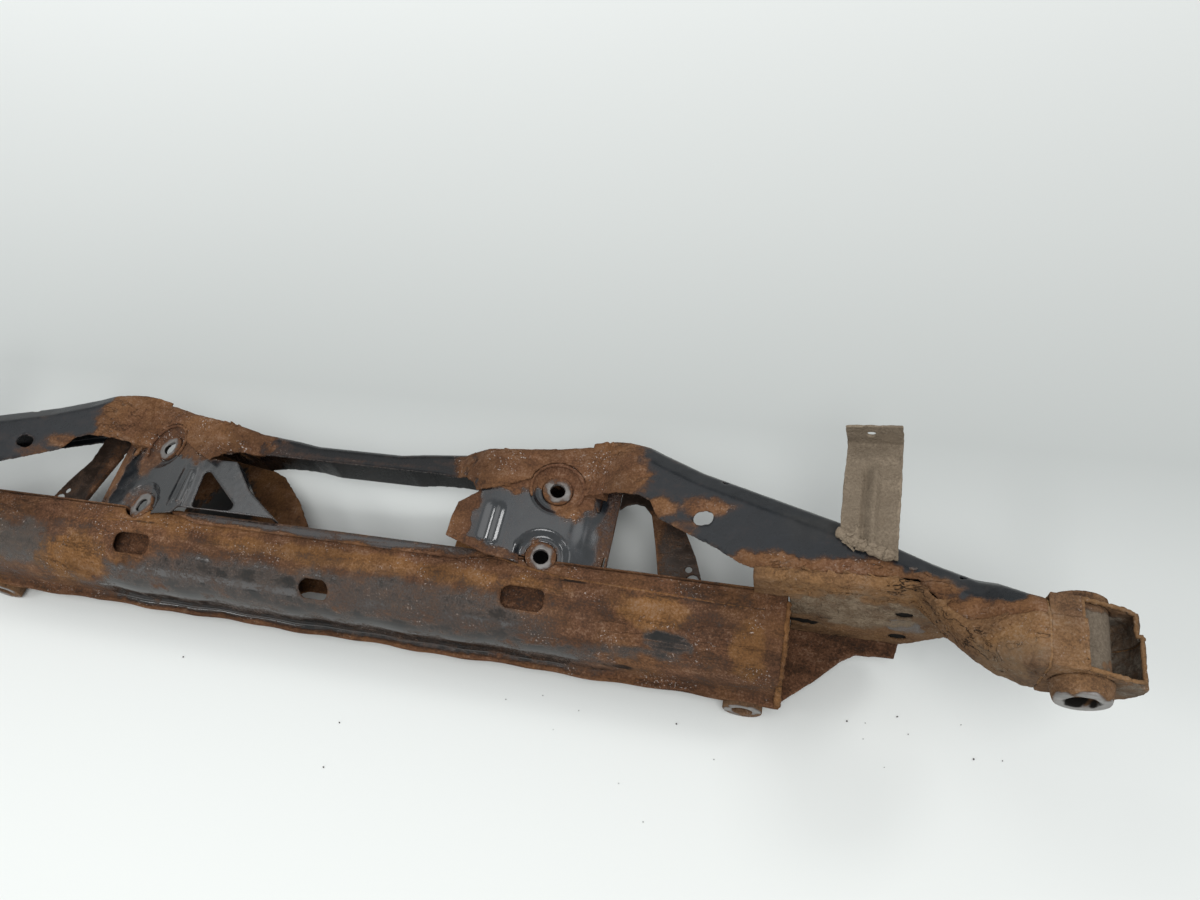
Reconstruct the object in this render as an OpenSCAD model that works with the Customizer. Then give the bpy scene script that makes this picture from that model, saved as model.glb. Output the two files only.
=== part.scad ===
// Rear suspension subframe: a welded crossmember of pressed steel sheet.
// It is drawn as installed (x across, y forward, z up) and then laid on its front face.

/* [Sheet] */
// Thickness of the pressed sheet
sheet_t = 2.5; // [1.8:0.1:3.2]
// Gap that a weld bridges between two sheets
weld_gap = 0.2; // [0.1:0.05:0.3]

/* [Outer body mounts] */
// Half the distance between the outer mount sleeves
outer_x = 563; // [545:1:585]
// Distance of the outer mounts behind the beam's rear face
outer_back = 61; // [56:1:66]
// Bore of the outer mount sleeves
outer_bore = 18; // [14:0.5:22]
// Outside diameter of the outer mount sleeves
outer_od = 34; // [30:0.5:36]
// Diameter of the rings on the outer sleeves
ring_od = 35; // [34.5:0.5:42]
// Diameter of the lower ring's face, from which it widens upwards
face_od = 32.5; // [30:0.5:34]
// Thickness of the upper ring
ring_t = 6; // [4:0.5:8]
// Height of the lower ring, below the housing's floor
low_ring_t = 12; // [9:0.5:14]
// Height of the end housing between the two rings
housing_h = 48; // [44:1:54]
// Width of the end housing, front to rear
housing_w = 46; // [44:1:52]
// Length of the end housing outboard of its sleeve's axis
nose_l = 34; // [32:1:40]

/* [Inner body mounts] */
// Distance of the inner mount sleeves from the beam's ends
inner_in = 28; // [24:1:40]
// Bore of the inner mount sleeves
inner_bore = 16; // [12:0.5:20]
// Outside diameter of the inner mount sleeves
inner_od = 31; // [27:0.5:36]

/* [Lower beam] */
// Half the length of the lower beam
beam_half = 383; // [375:1:392]
// Depth of the lower beam, rear face to front wall
beam_d = 66; // [60:1:70]
// Height of the lower beam's top wall
beam_top = 71; // [68:1:76]
// Height of the lower beam's bottom wall
beam_floor = 10; // [8:0.5:14]
// Radius of the bend between rear web and bottom wall
web_r = 40; // [34:1:44]
// Set-back of the web behind the upper band
web_step = 2; // [1:0.5:3]
// Distance of the side slots from the middle
slot_x = 181; // [170:1:192]
// Length of the side slots
slot_l = 35; // [28:1:42]
// Height of the side slots
slot_h = 16; // [13:0.5:20]
// Length of the middle slot
mid_slot_l = 26; // [20:0.5:30]
// Height of the middle slot
mid_slot_h = 13; // [10:0.5:16]

/* [Towers] */
// Distance of the pivot bosses from the middle
tower_x = 188.5; // [180:0.5:196]
// Angle that the tower plates are turned by
tower_yaw = 14; // [12:0.5:16]
// Height of the upper pivots
pivot_up_z = 135.6; // [132:0.1:139]
// Height of the lower pivots
pivot_low_z = 75.6; // [72:0.1:82]
// Bore of the pivot bosses
pivot_bore = 12.5; // [10:0.1:14.5]
// Outside diameter of the pivot bosses
pivot_od = 25; // [21:0.5:27]
// Thickness of the pivot bosses
pivot_l = 4; // [3:0.5:8]
// Radius of the dished seat round each boss
dish_r = 22.5; // [20:0.5:24.5]
// Depth of that dish
dish_d = 4; // [2:0.5:6]
// Height of the tower tops
tower_top = 188; // [184:1:194]

/* [Upper beam] */
// Height of the upper beam in the middle
arch_top = 154; // [150:1:160]
// Height of the upper beam's rear lip
arch_lip = 16.5; // [13:0.5:18]
// Depth of the upper beam in the middle
arch_d = 58; // [52:1:62]

/* [Arms] */
// Setback of the bevel along the arm's top
bevel = 22; // [18:0.5:24]
// Length of the slotted hole in the arm
arm_hole_l = 15; // [12:0.5:18]
// Width of the slotted hole in the arm
arm_hole_w = 11; // [8:0.5:13]
// Diameter of the drain holes along the arm
drain_d = 5; // [3:0.5:7]
// Diameter of the two holes in the arm's floor
pad_hole_d = 13; // [9:0.5:15]

/* [Uprights] */
// Distance of the uprights in front of the beam's rear face
upright_y = 33; // [28:1:38]
// Width of an upright's foot
upright_w = 35; // [30:1:40]

/* [Hose brackets] */
// Distance of the bracket's middle from the middle of the part
strap_x = 434.6; // [425:0.2:440]
// Width of the bracket
strap_w = 40.5; // [34:0.5:46]
// Height of the bracket's bent tab
strap_top = 181; // [172:1:184]
// Length of the bent tab
tab_l = 26; // [22:1:32]
// Hole in the tab
tab_hole_d = 6.5; // [5:0.1:8]

/* [Hidden] */
$fn = 64;

lap = sheet_t + weld_gap;
cut = 60;
paint = "#2b3038";
rust = "#6b4a34";

// The part lies on its inner sleeves and tower fronts, so their front line sets the height.
inner_x = beam_half - inner_in;
inner_y = beam_d + sheet_t + inner_od / 2 - 6;
rest_y = inner_y + inner_od / 2;

// Heights along the end housing
floor_z = low_ring_t;
roof_z = floor_z + housing_h;
seam_z = floor_z + 0.62 * housing_h;
house_rear = -outer_back - housing_w / 2;
house_front = house_rear + housing_w;
nose_x = outer_x + nose_l;
mouth_x = outer_x - 3;

// The arm starts beside its tower and ends at the housing; it dips towards the housing's floor.
arm_in = tower_x + 38;
arm_out = outer_x - 22;
dip_x = outer_x - 101;
pad_in = arm_in + 131;

// The pad is the flat floor under the arm; the beam's top wall lies level with it.
pad_z = beam_top - 4;
pad_front = beam_d - weld_gap;

// Lay the installed shape on its front face, with the origin under its middle.
module lay() {
    translate([0, -tower_top / 2, rest_y]) rotate([-90, 0, 0]) children();
}

module flip(side) {
    if (side < 0) mirror([1, 0, 0]) children();
    else children();
}

// A sheet that faces the rear: its outline is drawn in x and z, and y is its rear face.
module upright_sheet(y, t = sheet_t) {
    translate([0, y + t, 0]) rotate([90, 0, 0]) linear_extrude(t) children();
}

// The tower's rear plane, turned about the pivots: drawn along the plate and up.
module tower_plane(back = 0, t = sheet_t) {
    translate([tower_x, 0, 0]) rotate([0, 0, tower_yaw]) upright_sheet(back, t) children();
}

module slot2d(l, h, r) {
    for (i = [-1, 1]) for (j = [-1, 1]) translate([i * (l / 2 - r), j * (h / 2 - r)]) circle(r);
    square([l, h - 2 * r], center = true);
    square([l - 2 * r, h], center = true);
}

// A closed skin through sections of equal point count, each clockwise as seen from the last.
module loft(sections) {
    n = len(sections[0]);
    m = len(sections);
    points = [for (s = sections) each s];
    sides = [for (i = [0:m - 2]) for (j = [0:n - 1])
        let (a = i * n + j, b = i * n + (j + 1) % n)
        each [[b + n, b, a], [a + n, b + n, a]]];
    ends = [[for (j = [0:n - 1]) j], [for (j = [n - 1:-1:0]) (m - 1) * n + j]];
    polyhedron(points, concat(sides, ends), convexity = 10);
}

// The same section taken the other way round
function turned(s) = [for (k = [len(s) - 1:-1:0]) s[k]];

// Lower beam: a trough with an upper band, a round web and a lip, open at both ends.
module beam_section() {
    arc_y = web_step + web_r;
    arc_z = beam_floor + web_r;
    translate([0, arc_z]) square([sheet_t, beam_top - arc_z - weld_gap]);
    translate([0, arc_z]) square([web_step + sheet_t, sheet_t]);
    intersection() {
        translate([arc_y, arc_z]) difference() {
            circle(web_r, $fn = 96);
            circle(web_r - sheet_t, $fn = 96);
        }
        translate([0, beam_floor - 1]) square([arc_y, web_r + 1]);
    }
    translate([arc_y, beam_floor]) square([beam_d - lap - arc_y, sheet_t]);
    translate([beam_d - lap - sheet_t, 3]) square([sheet_t, beam_floor + sheet_t - 3]);
}

module side_slots_cut(z) {
    for (s = [-1, 1]) translate([s * slot_x, cut, z]) rotate([90, 0, 0])
        linear_extrude(2 * cut) slot2d(slot_l, slot_h, slot_h / 3);
}

// What the inner sleeves take up
module inner_rooms() {
    for (s = [-1, 1]) translate([s * inner_x, inner_y, -1])
        cylinder(d = inner_od + 2 * weld_gap, h = beam_top + 1 - weld_gap);
}

module lower_beam_shell() {
    slot_z = beam_floor + 30;
    color(rust) lay() difference() {
        translate([-beam_half, 0, 0]) rotate([90, 0, 90])
            linear_extrude(2 * beam_half) beam_section();
        intersection() {
            side_slots_cut(slot_z);
            translate([-cut * 5, -1, 0]) cube([cut * 10, web_r / 2, beam_top]);
        }
        translate([0, web_r / 2, beam_floor + 15]) rotate([90, 0, 0])
            linear_extrude(web_r) slot2d(mid_slot_l, mid_slot_h, mid_slot_h / 2 - 0.01);
        inner_rooms();
        for (s = [-1, 1]) flip(s) translate([tower_x, 0, pivot_low_z]) rotate([90, 0, tower_yaw])
            cylinder(d = pivot_od + 2 * weld_gap, h = cut, center = true);
    }
}

// Front plate: closes the trough with a top wall and a front wall, open in the middle below.
strip_half = tower_x - 38;
strip_h = 8.5;
module lapped_strip() {
    upright_sheet(-lap) polygon([
        [-strip_half, beam_top + sheet_t], [strip_half, beam_top + sheet_t], [strip_half, beam_top - 1],
        [strip_half - 30, beam_top - strip_h], [30 - strip_half, beam_top - strip_h],
        [-strip_half, beam_top - 1]
    ]);
    translate([-strip_half, -lap, beam_top]) cube([2 * strip_half, lap + 1, sheet_t]);
}

module lower_beam_front_plate() {
    window_z = beam_floor + 16;
    window_l = tower_x / 2;
    window_h = 28;
    color(rust) lay() difference() {
        union() {
            translate([-beam_half, 0, beam_top]) cube([2 * beam_half, beam_d + sheet_t, sheet_t]);
            translate([-beam_half, beam_d, 3]) cube([2 * beam_half, sheet_t, beam_top - 2]);
            lapped_strip();
        }
        translate([0, beam_d, window_z]) rotate([90, 0, 0])
            linear_extrude(cut, center = true) slot2d(window_l, window_h, window_h * 0.46);
        inner_rooms();
        for (s = [-1, 1]) flip(s) translate([tower_x, 0, pivot_low_z]) rotate([90, 0, tower_yaw])
            cylinder(d = pivot_od + 2 * weld_gap, h = cut, center = true);
    }
}

// Upper beam: an arched channel whose ends widen into wings that lap the rear tower plates.
arch_end = tower_x - 62;
wing_end = arm_in - weld_gap;
function wing_y(x) = tan(tower_yaw) * (x - tower_x) - lap / cos(tower_yaw);
function front_y(x) = rest_y - sheet_t - tan(tower_yaw) * max(0, tower_x + 12 - abs(x));
function arch_z(x) = lookup(abs(x), [
    [40, arch_top], [62, arch_top + 3.2], [arch_end - 21, arch_top + 7.5], [arch_end, tower_top - 28],
    [tower_x - 16, tower_top - 17], [tower_x + 15, tower_top - 7], [wing_end, tower_top - 1]
]);
function arch_low(x) = lookup(abs(x), [
    [80, arch_top - arch_lip], [arch_end - 19, arch_top - arch_lip - 2], [arch_end - 8, arch_top - 26],
    [arch_end, arch_top - 36], [tower_x - 46, arch_top - 29], [tower_x - 16, arch_top - 11],
    [tower_x + 23, arch_top - 4], [tower_x + 35, arch_top - 32]
]);
function arch_rear(x) = lookup(abs(x), [
    [arch_end - 26, 0], [arch_end, wing_y(arch_end)], [wing_end, wing_y(wing_end)]
]);
function arch_section(x) = let (
    r = arch_rear(x),
    z = arch_z(x),
    low = arch_low(x),
    f = max(arch_d, front_y(x) - weld_gap),
    t = sheet_t
) [
    [x, r, low], [x, r, z - 4], [x, r + 4, z], [x, f, z],
    [x, f, z - t], [x, r + 4 + t / 2, z - t], [x, r + t, z - 4 - t / 2], [x, r + t, low]
];
arch_xs = concat(
    [40, 62, 80], [for (k = [-26, -21, -19, -8, 0]) arch_end + k],
    [for (k = [-46, -16, 12, 15, 23, 35]) tower_x + k], [wing_end]
);

module upper_beam() {
    right = [for (x = arch_xs) turned(arch_section(x))];
    left = [for (x = turned(arch_xs)) turned(arch_section(-x))];
    color(paint) lay() difference() {
        loft(concat(left, right));
        for (s = [-1, 1]) flip(s) translate([tower_x, 0, pivot_up_z]) rotate([90, 0, tower_yaw])
            cylinder(r = dish_r + 1, h = cut, center = true);
    }
}

// Rear tower plates: two dished pivot seats, a flared inner edge and a flange down the outer edge.
module dish_cut(z) {
    translate([tower_x, 0, z]) rotate([90, 0, tower_yaw]) cylinder(r = dish_r, h = cut, center = true);
}

module dish(z) {
    translate([tower_x, 0, z]) rotate([-90, 0, tower_yaw]) rotate_extrude($fn = 96) polygon([
        [pivot_od / 2 + weld_gap, dish_d], [dish_r - 5, dish_d], [dish_r, 0],
        [dish_r, sheet_t], [dish_r - 4, dish_d + sheet_t], [pivot_od / 2 + weld_gap, dish_d + sheet_t]
    ]);
}

plate_low = beam_top - 5;
module plate_outline(reach) {
    polygon([
        [-reach, plate_low + 9], [-44, plate_low + 1], [-20, plate_low], [20, plate_low],
        [48, plate_low + 8],
        [53, 132], [53, 166], [0, 168], [-40, 154], [-55, 146],
        [-reach + 15, 118], [-reach + 2, 106], [-reach, 90]
    ]);
}

// What the lower beam takes up, which the tower plate stays clear of
module beam_room() {
    translate([0, -weld_gap, beam_top - cut]) cube([outer_x, cut, cut + lap]);
    translate([0, -cut, plate_low - cut]) cube([outer_x, 2 * cut, cut]);
}

module tower_plate(reach) {
    difference() {
        union() {
            tower_plane() plate_outline(reach);
            translate([tower_x, 0, 0]) rotate([0, 0, tower_yaw])
                translate([53 - sheet_t, 0, beam_top + lap]) cube([sheet_t, upright_y - 12.4, 78]);
            for (x = [-48, -41]) tower_plane(-1.5, 2) translate([x, pivot_low_z + 18]) slot2d(4, 34, 1.9);
        }
        dish_cut(pivot_up_z);
        dish_cut(pivot_low_z);
        beam_room();
    }
    dish(pivot_up_z);
    difference() {
        dish(pivot_low_z);
        beam_room();
    }
}

// The left plate carries on inwards as a strut with a folded edge and a three-cornered window.
strut_y = -10;
strut_in = 46;
strut_out = tower_x - 36;
strut_low = beam_top + lap;
strut_top = beam_top + 52;
fold_d = 12;
module strut_panel() {
    edge = [[strut_in, strut_low], [strut_in + 34, strut_low + 23], [strut_in + 58, strut_top]];
    fold = [for (p = edge) [p[0] + 1.5 * sheet_t, p[1]]];
    corners = [
        [strut_out - 28, strut_low + 5], [strut_out - 26, strut_top - 17], [strut_in + 47, strut_low + 6]
    ];
    upright_sheet(strut_y) difference() {
        polygon(concat(edge, [
            [strut_out - 33, strut_top], [strut_out, strut_top + 4], [strut_out, strut_low]
        ]));
        hull() for (p = corners) translate(p) circle(4);
    }
    upright_sheet(strut_y, fold_d) polygon(concat(edge, turned(fold)));
}

module left_tower_plate() {
    color(paint) lay() flip(-1) {
        tower_plate(52);
        strut_panel();
    }
}

module right_tower_plate() {
    color(paint) lay() tower_plate(78);
}

// Front tower gussets: flat sheets that carry the upper beam on the lower one. The left one reaches
// further inwards, behind the strut.
module tower_gusset(side, inner) {
    reach = tower_x + 12;
    ear = reach + 16.5;
    low = beam_top + lap;
    run = 1 / cos(tower_yaw);
    edge = concat(inner, [
        [arch_end - 19, arch_top - 2], [arch_end, arch_z(arch_end)], [tower_x - 16, arch_z(tower_x - 16)],
        [reach, arch_z(reach)], [reach, low + 20], [reach - 39, low]
    ]);
    color(rust) lay() flip(side) {
        translate([reach, rest_y - sheet_t, 0]) rotate([0, 0, tower_yaw]) upright_sheet(0)
            polygon([for (p = edge) [(p[0] - reach) * run, p[1]]]);
        upright_sheet(rest_y - sheet_t) polygon([
            [reach - 1.2, low + 20], [ear, low + 26], [ear, arch_z(ear)], [reach - 1.2, arch_z(reach)]
        ]);
    }
}

module left_tower_gusset() tower_gusset(-1, [
    [33, strut_low], [56, strut_low + 26.3], [77, strut_low + 51]
]);
module right_tower_gusset() tower_gusset(1, [[86, strut_low], [89, strut_low + 51]]);

// Pivot bosses: thick turned rings welded into the dished seats.
module pivot_boss(side, z) {
    color("silver") lay() flip(side) translate([tower_x, 0, z]) rotate([-90, 0, tower_yaw])
        translate([0, 0, dish_d + sheet_t - pivot_l]) difference() {
            cylinder(d = pivot_od, h = pivot_l);
            translate([0, 0, -1]) cylinder(d = pivot_bore, h = pivot_l + 2);
        }
}

module left_upper_pivot_boss() pivot_boss(-1, pivot_up_z);
module right_upper_pivot_boss() pivot_boss(1, pivot_up_z);
module left_lower_pivot_boss() pivot_boss(-1, pivot_low_z);
module right_lower_pivot_boss() pivot_boss(1, pivot_low_z);

// Arm profile: x runs from the tower to the end housing.
function arm_rear(x) = lookup(x, [
    [arm_in, -4], [arm_in + 16, -14], [arm_in + 30, -18], [dip_x + 19, -outer_back + 11.7],
    [dip_x + 44, -outer_back + 2], [dip_x + 56, house_rear + 13], [dip_x + 72, house_rear]]);
function arm_top(x) = lookup(x, [
    [arm_in, tower_top], [arm_in + 36, tower_top - 5], [arm_in + 79, 163], [outer_x - 150, 125],
    [dip_x + 19, 95], [dip_x + 56, 77], [dip_x + 72, roof_z + 3], [arm_out, roof_z]]);
function arm_bevel(x) = lookup(x, [
    [arm_in, bevel / 3], [arm_in + 40, bevel], [dip_x + 56, bevel], [arm_out, bevel / 2]]);
function arm_low(x) = lookup(x, [
    [arm_in, 134], [arm_in + 35, 129], [arm_in + 44, 124], [arm_in + 52, 110], [arm_in + 80, 97],
    [arm_in + 100, 88], [arm_in + 121, pad_z + 9], [arm_in + 132, pad_z + 6.2], [dip_x + 7, pad_z + 6.2],
    [dip_x + 16, pad_z - 4], [dip_x + 24, 52], [dip_x + 44, seam_z - 1], [arm_out, seam_z]]);
function arm_front(x) = lookup(x, [
    [arm_in, rest_y - 14], [arm_in + 80, 46], [outer_x - 163, 34], [dip_x + 19, 3],
    [dip_x + 56, house_front + 10], [dip_x + 72, house_front]]);
function arm_front_low(x) = lookup(x, [
    [arm_in, tower_top - 10], [arm_in + 35, tower_top - 15], [arm_in + 80, 153], [beam_half + 12, 121],
    [dip_x - 19, pad_z + lap], [dip_x + 36, pad_z + lap], [arm_out, seam_z + lap]]);
function arm_section(x) = let (
    r = arm_rear(x),
    f = arm_front(x),
    z = arm_top(x),
    b = arm_bevel(x),
    t = sheet_t,
    low = arm_low(x),
    front_low = arm_front_low(x)
) [
    [x, r, low], [x, r, z - b], [x, r + b * 0.32, z - b * 0.38], [x, r + b, z], [x, f, z], [x, f, front_low],
    [x, f - t, front_low], [x, f - t, z - t], [x, r + b + t * 0.4, z - t],
    [x, r + b * 0.32 + t * 0.8, z - b * 0.38 - t * 0.6], [x, r + t, z - b - t * 0.4], [x, r + t, low]
];
arm_steps = [0, 16, 30, 35, 44, 52, 80, 100, 121, 132];
arm_xs = concat(
    [for (k = arm_steps) arm_in + k], [beam_half + 12, outer_x - 150],
    [for (k = [-19, -6, 7, 16, 19, 24, 36, 44, 56, 72]) dip_x + k], [arm_out]);

// Plan of the end housing: straight sides, a round front corner and a mouth cut off the rear corner.
house_in = arm_out + weld_gap;
module housing_body(grow) {
    r = housing_w / 2;
    translate([house_in, house_rear - grow]) square([nose_x - r - house_in, housing_w + 2 * grow]);
    translate([nose_x - r, house_rear + r]) circle(r + grow, $fn = 96);
}

module mouth_cut() {
    translate([mouth_x, house_rear + lap]) rotate(22) translate([0, -housing_w])
        square([housing_w * 2, housing_w]);
}

module housing_plan(grow) {
    difference() {
        housing_body(grow);
        mouth_cut();
    }
}

module housing_wall(grow) {
    difference() {
        housing_plan(grow);
        for (x = [-1, 0]) translate([x, 0]) housing_body(grow - sheet_t);
    }
}

module outer_axis() {
    translate([outer_x, -outer_back, 0]) children();
}

module arm_upper_shell(side) {
    color(paint) lay() flip(side) difference() {
        loft([for (x = arm_xs) turned(arm_section(x))]);
        translate([arm_in + 88, 0, 112]) rotate([90, 0, 0]) linear_extrude(cut) rotate(12)
            slot2d(arm_hole_l, arm_hole_w, arm_hole_w / 2 - 0.01);
        for (x = [arm_in + 100, outer_x - 66])
            translate([x, arm_rear(x) + bevel / 2, arm_top(x) - bevel / 2])
            rotate([45, 0, 0]) cylinder(d = drain_d, h = 12, center = true);
    }
}

module left_arm_upper_shell() arm_upper_shell(-1);
module right_arm_upper_shell() arm_upper_shell(1);

// End cap: the upper half of the end housing, welded to the arm's end round the sleeve.
module end_cap(side) {
    color(rust) lay() flip(side) difference() {
        union() {
            translate([0, 0, seam_z]) linear_extrude(roof_z - seam_z) housing_wall(0);
            translate([0, 0, roof_z - sheet_t]) linear_extrude(sheet_t) housing_plan(0);
        }
        outer_axis() cylinder(d = outer_od + 2 * weld_gap, h = 4 * cut);
    }
}

module left_end_cap() end_cap(-1);
module right_end_cap() end_cap(1);

// End pan: the lower half of the end housing, which laps the cap from outside.
module end_pan(side) {
    color(rust) lay() flip(side) difference() {
        translate([0, 0, floor_z]) union() {
            linear_extrude(seam_z + 3 - floor_z) housing_wall(lap);
            linear_extrude(sheet_t) housing_plan(lap);
        }
        outer_axis() cylinder(d = outer_od + 2 * weld_gap, h = cut);
    }
}

module left_end_pan() end_pan(-1);
module right_end_pan() end_pan(1);

// Lower arm shell: the flat pad with its flange, dipping to meet the end pan.
function low_floor(x) = lookup(x, [
    [dip_x + 7, pad_z - 0.5], [dip_x + 16, pad_z - 11], [dip_x + 24, 45], [dip_x + 36, 34.5],
    [dip_x + 44, 28], [dip_x + 56, floor_z + 7], [dip_x + 72, floor_z]]);
function low_seam(x) = lookup(x, [
    [pad_in, pad_z + 7], [dip_x - 6, pad_z + 6], [dip_x + 12, pad_z - 2], [dip_x + 36, seam_z + 4],
    [arm_out, seam_z + 3]]);
function low_front(x) = lookup(x, [
    [dip_x, -9], [dip_x + 24, -22], [dip_x + 56, house_front + 8], [dip_x + 72, house_front + lap]]);
function pad_edge(x) = lookup(x, [
    [beam_half + weld_gap, -weld_gap], [beam_half + 2, pad_front], [dip_x + 8, pad_front], [dip_x + 36, 37],
    [dip_x + 56, low_front(dip_x + 56) + 8], [arm_out, house_front + lap + 5]]);
function pad_level(x) = lookup(x, [[dip_x + 36, pad_z], [arm_out, seam_z]]);
function low_section(x) = let (
    r = arm_rear(x) - lap,
    f = low_front(x),
    b = low_floor(x),
    p = pad_level(x),
    e = pad_edge(x),
    c = min(b + 5, p - weld_gap),
    t = sheet_t
) [
    [x, r, low_seam(x)], [x, r, b + 5], [x, r + 5, b], [x, f - 5, b], [x, f, c], [x, f + 1, p], [x, e, p],
    [x, e, p + t], [x, f + 1 - t, p + t], [x, f - t, c + t], [x, f - 5 - t / 2, b + t],
    [x, r + 5 + t / 2, b + t], [x, r + t, b + 5 + t / 2], [x, r + t, low_seam(x)]
];
low_xs = concat(
    [pad_in, beam_half + weld_gap, beam_half + 2, beam_half + 40],
    [for (k = [-6, 0, 7, 16, 19, 24, 36, 44, 56, 72]) dip_x + k], [arm_out]);

module arm_lower_shell(side) {
    color(rust) lay() flip(side) difference() {
        loft([for (x = low_xs) low_section(x)]);
        for (y = [6, pad_front - 16]) translate([dip_x + 3, y, pad_z])
            cylinder(d = pad_hole_d, h = cut, center = true);
    }
}

module left_arm_lower_shell() arm_lower_shell(-1);
module right_arm_lower_shell() arm_lower_shell(1);

// End gussets: the front plate's outboard ends, tapering up to the pad.
module end_gusset(side) {
    x0 = beam_half + weld_gap;
    color(rust) lay() flip(side) upright_sheet(beam_d) polygon([
        [x0, 8], [x0 + 24, 29], [x0 + 42, 47], [x0 + 53, 54], [dip_x + 3, 56],
        [dip_x + 6, pad_z + sheet_t], [x0, pad_z + sheet_t]
    ]);
}

module left_end_gusset() end_gusset(-1);
module right_end_gusset() end_gusset(1);

// Uprights: folded struts between the lower beam and the arm's roof. The head arches over to the tower.
module upright(side) {
    low = beam_top + lap;
    foot_in = arm_in + 54;
    foot_out = foot_in + upright_w;
    head_in = arm_in + 8;
    inner = [[foot_in, low], [foot_in - 10.5, low + 41], [foot_in - 17.5, low + 65]];
    fold = [for (p = inner) [p[0] + sheet_t, p[1]]];
    arc = [
        [foot_in - 25, low + 72.5], [foot_in - 33, low + 73.5], [foot_in - 41, low + 70.5],
        [head_in, low + 65]
    ];
    roof = [for (x = [head_in, arm_in + 35, foot_in + 8]) [x, arm_top(x) - lap]];
    outer = [
        [foot_out - 22, low + 54], [foot_out - 10, low + 32], [foot_out - 3, low + 14], [foot_out, low]
    ];
    color(rust) lay() flip(side) {
        upright_sheet(upright_y) difference() {
            polygon(concat(inner, arc, roof, outer));
            translate([foot_out - 14, low + 20]) circle(d = 5.5);
            translate([foot_out - 9.5, low + 11]) circle(d = 10);
        }
        upright_sheet(upright_y, 2 * sheet_t) polygon(concat(inner, turned(fold)));
    }
}

module left_upright() upright(-1);
module right_upright() upright(1);

// Body-mount sleeves: turned tubes, the outer pair with a ring at each end.
module outer_mount_sleeve(side) {
    color("silver") lay() flip(side) outer_axis() difference() {
        union() {
            translate([0, 0, ring_t]) cylinder(d = outer_od, h = roof_z);
            cylinder(d1 = face_od, d2 = ring_od + 3, h = floor_z - weld_gap);
            translate([0, 0, roof_z + weld_gap]) cylinder(d = ring_od, h = ring_t - weld_gap);
        }
        translate([0, 0, -1]) cylinder(d = outer_bore, h = 4 * cut);
    }
}

module inner_mount_sleeve(side) {
    color("silver") lay() flip(side) translate([inner_x, inner_y, 0]) difference() {
        cylinder(d = inner_od, h = beam_top - 2 * weld_gap);
        translate([0, 0, -1]) cylinder(d = inner_bore, h = beam_top + 2);
    }
}

module left_outer_mount_sleeve() outer_mount_sleeve(-1);
module right_outer_mount_sleeve() outer_mount_sleeve(1);
module left_inner_mount_sleeve() inner_mount_sleeve(-1);
module right_inner_mount_sleeve() inner_mount_sleeve(1);

// Hose brackets: bent straps welded to the arm's bevel, with a tab turned to the rear.
module hose_bracket(side) {
    foot = arm_top(strap_x) - bevel + 2;
    yaw = -atan(0.13);
    half = strap_w / 2;
    back = arm_rear(strap_x) - weld_gap;
    color("#6d6355") lay() flip(side) translate([strap_x, back, 0]) rotate([0, 0, yaw]) difference() {
        union() {
            upright_sheet(-sheet_t) polygon([
                [-half, foot + 4], [-half, strap_top], [half, strap_top], [half, foot - 10], [0, foot - 6]
            ]);
            translate([-half, -tab_l, strap_top - sheet_t]) cube([strap_w, tab_l, sheet_t]);
        }
        translate([-2, -tab_l * 0.62, strap_top - cut / 2]) cylinder(d = tab_hole_d, h = cut);
    }
}

module left_hose_bracket() hose_bracket(-1);
module right_hose_bracket() hose_bracket(1);

lower_beam_shell();
lower_beam_front_plate();
upper_beam();
left_tower_plate();
right_tower_plate();
left_tower_gusset();
right_tower_gusset();
left_upper_pivot_boss();
right_upper_pivot_boss();
left_lower_pivot_boss();
right_lower_pivot_boss();
left_upright();
right_upright();
left_arm_upper_shell();
right_arm_upper_shell();
left_arm_lower_shell();
right_arm_lower_shell();
left_end_cap();
right_end_cap();
left_end_pan();
right_end_pan();
left_end_gusset();
right_end_gusset();
left_outer_mount_sleeve();
right_outer_mount_sleeve();
left_inner_mount_sleeve();
right_inner_mount_sleeve();
left_hose_bracket();
right_hose_bracket();
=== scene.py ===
import random

import bmesh
import bpy
import numpy as np
from mathutils import Matrix, Vector, noise


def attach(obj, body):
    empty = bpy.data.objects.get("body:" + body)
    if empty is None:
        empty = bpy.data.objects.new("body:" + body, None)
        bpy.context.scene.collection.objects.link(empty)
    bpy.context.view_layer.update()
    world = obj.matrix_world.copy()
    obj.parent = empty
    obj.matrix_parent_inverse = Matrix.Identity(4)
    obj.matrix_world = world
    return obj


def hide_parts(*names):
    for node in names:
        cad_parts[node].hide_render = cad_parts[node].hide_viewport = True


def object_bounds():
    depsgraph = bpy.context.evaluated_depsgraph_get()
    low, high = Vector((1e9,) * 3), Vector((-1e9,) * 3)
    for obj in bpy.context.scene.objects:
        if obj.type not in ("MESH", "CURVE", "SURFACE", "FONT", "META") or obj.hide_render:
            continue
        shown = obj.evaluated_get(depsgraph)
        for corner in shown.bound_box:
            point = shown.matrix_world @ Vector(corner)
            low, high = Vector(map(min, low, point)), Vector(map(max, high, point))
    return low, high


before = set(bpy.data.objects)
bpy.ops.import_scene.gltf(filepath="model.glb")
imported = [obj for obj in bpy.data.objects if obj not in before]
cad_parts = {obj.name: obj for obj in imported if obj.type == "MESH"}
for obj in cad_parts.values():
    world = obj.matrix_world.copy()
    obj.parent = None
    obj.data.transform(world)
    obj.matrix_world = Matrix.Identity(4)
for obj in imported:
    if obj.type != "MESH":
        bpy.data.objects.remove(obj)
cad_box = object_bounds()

# The photograph: a phone held above the part's right half, looking down on its rear face.
# The part lies on its front face, and the frame's left edge cuts its left end off.
eye = Vector((0.4027, -0.2938, 0.7463))
ahead = Vector((-0.2408, 0.4848, -0.8402)).normalized()
across = Vector((0.9662, 0.2055, -0.1598))
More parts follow.
